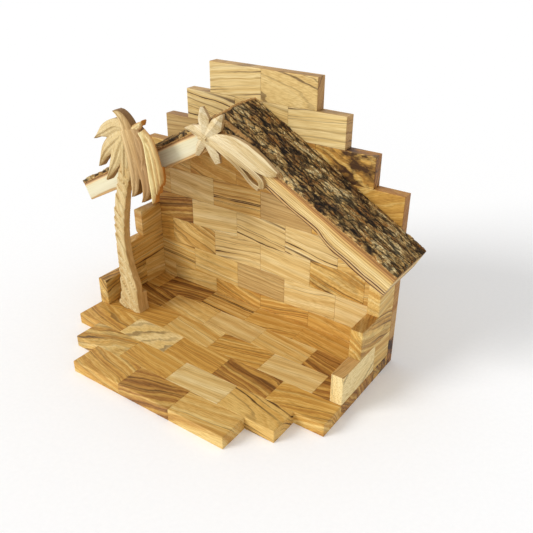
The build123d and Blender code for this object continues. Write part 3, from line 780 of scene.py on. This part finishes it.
def sapwood(name, turn, left, right, edge, span, carved):
    """Pale sapwood, carved and oiled, with its grain along a direction in the front.

    Its face goes from one tone on the left to one on the right, over a span of X in mm. Its sawn
    edges are deeper in tone. Its hollows take that tone as painted shade, more the deeper they lie,
    over the carved span of Y in mm.
    """
    from_pith = (38, 22, 0)
    material = new_material(name)
    tree = material.node_tree
    here = add(tree, "TexCoord")
    log = add(tree, "Mapping",
              {"Vector": here.outputs["Object"], "Location": from_pith,
               "Rotation": (0, math.radians(turn), 0), "Scale": [PER_METRE] * 3})
    bands, _, fibres = grow_olive(tree, log, 6.0)
    place = add(tree, "SeparateXYZ", [here.outputs["Object"]])
    drift = add(tree, "MapRange", [place, span[0] * MM, span[1] * MM])
    face = add(tree, "Mix", {0: drift, 6: linear(left), 7: linear(right)})
    normal = add(tree, "SeparateXYZ", [here.outputs["Normal"]])
    sawn = add(tree, "MapRange", [normal.outputs[1], -0.6, -0.25])
    # Painted shade: the deeper the front lies over the carved span of Y, the more it takes the edge tone,
    # standing in for shade in the hollows
    sunk = add(tree, "MapRange",
               [place.outputs[1], carved[0] * MM, carved[1] * MM, 0.0, 0.7])
    sawn_edge_and_hollow_shade = add(tree, "Math:MAXIMUM", [sawn, sunk])
    body = add(tree, "Mix", {0: sawn_edge_and_hollow_shade, 6: face, 7: linear(edge)})
    growth = add(tree, "ValToRGB", [bands], [(0.3, "#E8DCC2"), (0.6, "#FFFFFF")])
    grown = add(tree, "Mix", {0: 1.0, 6: body, 7: growth}, blend_type="MULTIPLY")
    oil_finish(material, grown, fibres, [(0.28, "#DED5C2"), (0.62, "#FFFFFF")])
    return material


def ray_front(along, across, plan):
    """A ray's front: a knife ridge down its middle that falls towards the tip."""
    edge, ridge = 2.2, 2.4
    return (edge + ridge * (1 - np.abs(across))) * (1 - 0.25 * along ** 3)


def tail_front(along, across, plan):
    """The tail's front: a low crown with lengthwise knife lines."""
    edge, crown = 2.4, 1.1
    line_width, line_depth = 0.08, 0.5
    lines = sum(np.exp(-((across - place) / line_width) ** 2) for place in (-0.6, -0.2, 0.2, 0.6))
    return edge + crown * (1 - across ** 2) - line_depth * lines * np.minimum(along * 3, 1)


star_rays = [[(-5.4, 0, 5), (-2, 0.4, 7), (1.4, 0, 5)],
             [(-1.7, -2.5, 4.6), (-2.3, 11.4, 8.2), (-3.4, 17.8, 1.5)],
             [(-3.2, -1.5, 4.4), (6.9, 8.9, 8.4), (11.4, 15.6, 0.8)],
             [(0.5, 0.2, 8), (-7, 3.4, 7.6), (-11.7, 4, 4.8), (-16, 3.9, 0.8)],
             [(-1.2, 1.0, 5), (-5.6, -5.5, 5.8), (-8.4, -11, 2.8)],
             [(-3, 1.2, 4.6), (5.4, -9.5, 6.4), (6.8, -13.6, 4.2)]]
tail_strands = [[(-2, 0, 4), (9, 1.2, 6.2), (17.5, -0.3, 10), (27, -3.6, 11.4), (36.5, -7.8, 10.4),
                 (43.5, -10.4, 7), (48.6, -11.2, 2.4)],
                [(2, -1, 3.4), (15.5, -6.2, 4.2), (26, -10.8, 3.6), (33.5, -14.4, 3.2), (37.6, -18, 3.8),
                 (37.8, -21.6, 3.4)],
                [(3, -1.6, 3.4), (16, -8.8, 2.8), (24, -14, 2.4), (31, -20, 2.4), (36.2, -22.4, 3)]]
star_seat = (-2.7, 14.0, 141.52)
facet_angle = 24
star_hub = block_out("comet_star_hub", star_seat, [strip(star_rays[0], ray_front, 0.0, 3, 1)])
star_maker = block_out("comet_star", star_seat,
                       [strip(ray, ray_front, 0.0, 3, 1) for ray in star_rays[1:]]
                       + [strip(strand, tail_front, 0.0, 21, 6) for strand in tail_strands])
star_union = star_maker.modifiers.new("one_piece", "BOOLEAN")
star_union.operation = "UNION"
star_union.solver = "EXACT"
star_union.use_self = True
star_union.object = star_hub
star = finished(star_maker, "comet_star_carving")
bpy.data.objects.remove(star_hub)
star.data.set_sharp_from_angle(angle=math.radians(facet_angle))
star.data.materials.clear()
# The last span, in Y, is where the star's low edges and hollows get painted shade
star.data.materials.append(sapwood("pale_sapwood_star", 64, "#E6D8B6", "#D6C396", "#B8986A", (-20, 45),
                                   (11, 14.5)))
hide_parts("comet_star")
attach(star, "root")

# Palm. One board is sawn out with trunk and crown together, glued at its thicker foot, and carved on
# the front: slanting chip cuts up the trunk, and overlapping fronds that hang in three groups. The
# board was sawn across sapwood and heartwood, so the groups differ from cream to tan and yellow.


def trunk_front(along, across, plan):
    """The trunk's front: chip cuts that run down to the right, and under the crown a sunk top."""
    chip_spacing, chip_depth = 8.6, 2.0
    crown_start, crown_run, crown_depth = 100, 14, 2.0
    level, edge_fall = -0.1, 0.9
    right, up = plan[:, :, 0], plan[:, :, 1]
    beat = np.mod((up + 0.9 * right) / chip_spacing + 0.3 * np.sin(0.19 * up), 1)
    chips = chip_depth * (1 - beat) ** 1.2 * (0.75 - 0.25 * across) * (1 - 0.5 * across ** 6)
    crown = crown_depth * np.clip((up - crown_start) / crown_run, 0, 1)
    return level - chips - crown - edge_fall * np.abs(across) ** 5


def trunk_back(along):
    """The trunk's back: thicker at the foot, and under the crown set in behind the fronds."""
    foot, trunk, set_in = -10.5, -6.6, 1.2
    return np.where(along < 0.16, foot, trunk + set_in * np.clip((along - 0.7) / 0.1, 0, 1))


def frond_front(proud, lines):
    """A frond's front: a ridged blade with knife lines along it."""
    edge_fall = 2.6
    line_width, line_depth = 0.12, 1.1

    def height(along, across, plan):
        cut = sum(np.exp(-((across - place) / line_width) ** 2) for place in lines)
        return proud - edge_fall * np.abs(across) ** 1.3 - line_depth * cut * np.minimum(4 * along, 1)
    return height


def thin_above(along):
    """The back of the yellow group: thin above, thick at the tips."""
    thin, thick = -2.4, -4.6
    return np.where(along < 0.6, thin, thick)


def palm_piece(name, corner, strips, wood):
    """Strips of the palm joined under one carved skin, fine enough for the knife lines."""
    grain = 0.35 * MM
    maker = block_out(name, corner, strips)
    skin = maker.modifiers.new("skin", "REMESH")
    skin.mode = "VOXEL"
    skin.voxel_size = grain
    skin.use_smooth_shade = True
    piece = finished(maker, name)
    piece.data.materials.append(wood)
    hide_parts("palm_tree")
    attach(piece, "root")


trunk_stations = [(1.2, 0, 21.6), (2.0, 7, 17.4), (2.6, 14, 16.2), (2.6, 20, 15.8), (1.6, 27, 13.2),
                  (0.5, 36, 10.6), (-0.2, 47, 9.0), (-0.3, 57, 8.8), (0.6, 68, 9.4), (2.4, 78, 9.6),
                  (5.8, 90, 9.4), (10.0, 104, 10.5), (14.5, 120, 11.5), (15.4, 130, 9.0)]
trunk_seat = (-72.0, -1.0, 8.2)
# The last span, in Y, is where the trunk's chip cuts and sunk top get painted shade
palm_piece("palm_trunk_carving", trunk_seat, [strip(trunk_stations, trunk_front, trunk_back)],
           sapwood("pale_sapwood_trunk", 4, "#DCC99A", "#D6BF8A", "#CBA870", (-80, -55), (-0.6, 1.6)))
cream_fronds = [[(-3, -1, 8), (-12, -7, 9.6), (-19.5, -13.5, 8.6), (-23.5, -19, 5.6), (-27, -26.4, 0.9)],
                [(-3, -3, 8), (-9, -12, 10), (-13, -20, 8.6), (-16.8, -26.5, 5.2), (-21.2, -34.6, 0.9)],
                [(-2, -4, 7), (-4, -14, 8), (-5, -24, 6.6), (-6, -34.8, 0.9)],
                [(0, 3.5, 8.5), (-8, 3.6, 8), (-14.5, 0.8, 8.8), (-20, -2.4, 7.6), (-24, -4.8, 4),
                 (-27.4, -7.8, 0.9)]]
tan_fronds = [[(2, -4, 10), (0.5, 3.4, 10.5), (-1.5, 8, 7.5), (-4, 11.2, 4), (-7, 13, 0.9)],
              [(0, 2, 8.5), (3, -9.5, 9), (5, -22, 8.4), (4.8, -31, 7), (4.2, -36, 4.8), (3.1, -39.8, 1.2)],
              [(4, 3, 8.5), (8.5, -8, 9), (12, -20, 8.6), (13.8, -29, 7.6), (13.4, -36, 5.8),
               (11.2, -41.8, 1.2)],
              [(7, 3.4, 6), (12.3, -2, 6.5), (14, -9, 6.5), (13.6, -17, 5), (13.2, -24, 3)]]
yellow_fronds = [[(6, 3, 5), (10.8, 5.8, 4.8), (13.4, 8, 2.6), (15, 10, 0.9)],
                 [(13, 3, 4), (16.4, -3, 4.2), (17.8, -13, 4.4), (18.6, -22, 4.6), (19.6, -31, 4.6),
                  (20, -40.4, 2)],
                 [(14, 3.6, 4), (19.8, -1.4, 4), (23.2, -9, 3.8), (25.2, -17, 4), (26, -24, 3.6),
                  (26.2, -28.4, 1.2)],
                 [(15, 0, 3), (19.6, -6, 3.2), (21.6, -14, 3.2), (22.6, -22, 3.2), (23.4, -29, 2.8),
                  (23.6, -34, 1.2)]]
crown_seat = (-56.8, -1.0, 138.2)
# The last span of each group, in Y, is where the valleys between its fronds get painted shade
for name, fronds, proud, lines, back, colours, span, carved in (
        ("cream", cream_fronds, (0.0, 0.3, -0.2, 0.9), (-0.3, 0.35), -6.6,
         ("#DCC798", "#D6C08C", "#A8844E"), (-80, -56), (0.4, 3.0)),
        ("tan", tan_fronds, (1.8, 2.2, 1.9, 1.2), (-0.4, 0.3), -6.1,
         ("#E2C892", "#C29E70", "#8A6636"), (-62, -42), (-2.2, 0.4)),
        ("yellow", yellow_fronds, (0.4, 1.5, 0.2, 0.9), (0.1,), thin_above,
         ("#EFE0AC", "#EAD696", "#B8782C"), (-46, -28), (-1.6, 0.8))):
    palm_piece("palm_fronds_" + name, crown_seat,
               [strip(frond, frond_front(step, lines), back) for frond, step in zip(fronds, proud)],
               sapwood("frond_wood_" + name, 12, *colours, span, carved))

# Floor, light and camera. A pale paper sheet lies under the stable, in soft studio light that comes
# mostly from the front left, and the camera stands at the front right as the photo's did.
half = 4
floor_mesh = bpy.data.meshes.new("floor")
floor_mesh.from_pydata([(-half, -half, 0), (half, -half, 0), (half, half, 0), (-half, half, 0)], [],
                       [(0, 1, 2, 3)])
floor = in_scene("floor", floor_mesh)
# Matt white paper, with a tooth of about 2.5 mm that is coarse enough to show
tooth_rate = 400.0
sheet = new_material("white_paper_sheet")
pulp = sheet.node_tree
tooth = add(pulp, "TexCoord")
speck = add(pulp, "TexNoise", {"Vector": tooth.outputs["Object"], "Scale": tooth_rate})
paper = add(pulp, "ValToRGB", [speck], [(0.0, "#FAFAFA"), (1.0, "#FFFFFF")])
feed(pulp, pulp.nodes["Principled BSDF"],
     {"Base Color": paper, "Roughness": 1.0, "Specular IOR Level": 0.0})
floor_mesh.materials.append(sheet)
floor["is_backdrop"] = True

# The camera, mirrors and clear things see plain white, and all else gets the softer ambient light
ambient_strength = 0.7
world = bpy.data.worlds.new("studio")
bpy.context.scene.world = world
world.use_nodes = True
sky = world.node_tree
sky.nodes.clear()
ray = add(sky, "LightPath")
mirrored = add(sky, "Math:MAXIMUM", [ray.outputs["Is Camera Ray"], ray.outputs["Is Glossy Ray"]])
clear = add(sky, "Math:MAXIMUM", [mirrored, ray.outputs["Is Transmission Ray"]])
ambient = add(sky, "Background", {"Color": (1, 1, 1, 1), "Strength": ambient_strength})
white = add(sky, "Background", {"Color": (1, 1, 1, 1), "Strength": 1.0})
chosen = add(sky, "MixShader", [clear, ambient, white])
add(sky, "OutputWorld", {"Surface": chosen})

for name, towards, strength, spread in (("key", (0.55, 0.8, -0.52), 1.93, 26),
                                        ("fill", (-0.5, 0.8, -0.34), 0.32, 50)):
    lamp = bpy.data.lights.new(name, "SUN")
    lamp.energy = strength
    lamp.angle = math.radians(spread)
    stand = in_scene(name, lamp)
    stand.rotation_euler = Vector(towards).to_track_quat("-Z", "Y").to_euler()

# The camera was fitted to the photo's brick corners. Its target and distance are in mm.
target = Vector((47.632, -0.364, 79.724))
distance = 362.418
focal_length = 43.363
turn, rise, roll = math.radians(34.655), math.radians(28.371), math.radians(0.417)
back = Vector((math.sin(turn) * math.cos(rise), -math.cos(turn) * math.cos(rise), math.sin(rise)))
right = Vector((math.cos(turn), math.sin(turn), 0))
up = back.cross(right)
rolled_right = math.cos(roll) * right + math.sin(roll) * up
rolled_up = math.cos(roll) * up - math.sin(roll) * right
lens = bpy.data.cameras.new("camera")
lens.sensor_width = 36.0
lens.lens = focal_length
lens.clip_start = 0.01
camera = in_scene("camera", lens)
pose = Matrix((rolled_right, rolled_up, back)).transposed().to_4x4()
pose.translation = target * MM + back * distance * MM
camera.matrix_world = pose
bpy.context.scene.camera = camera
bpy.context.scene.view_settings.view_transform = "Standard"

bpy.context.view_layer.update()
low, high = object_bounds()
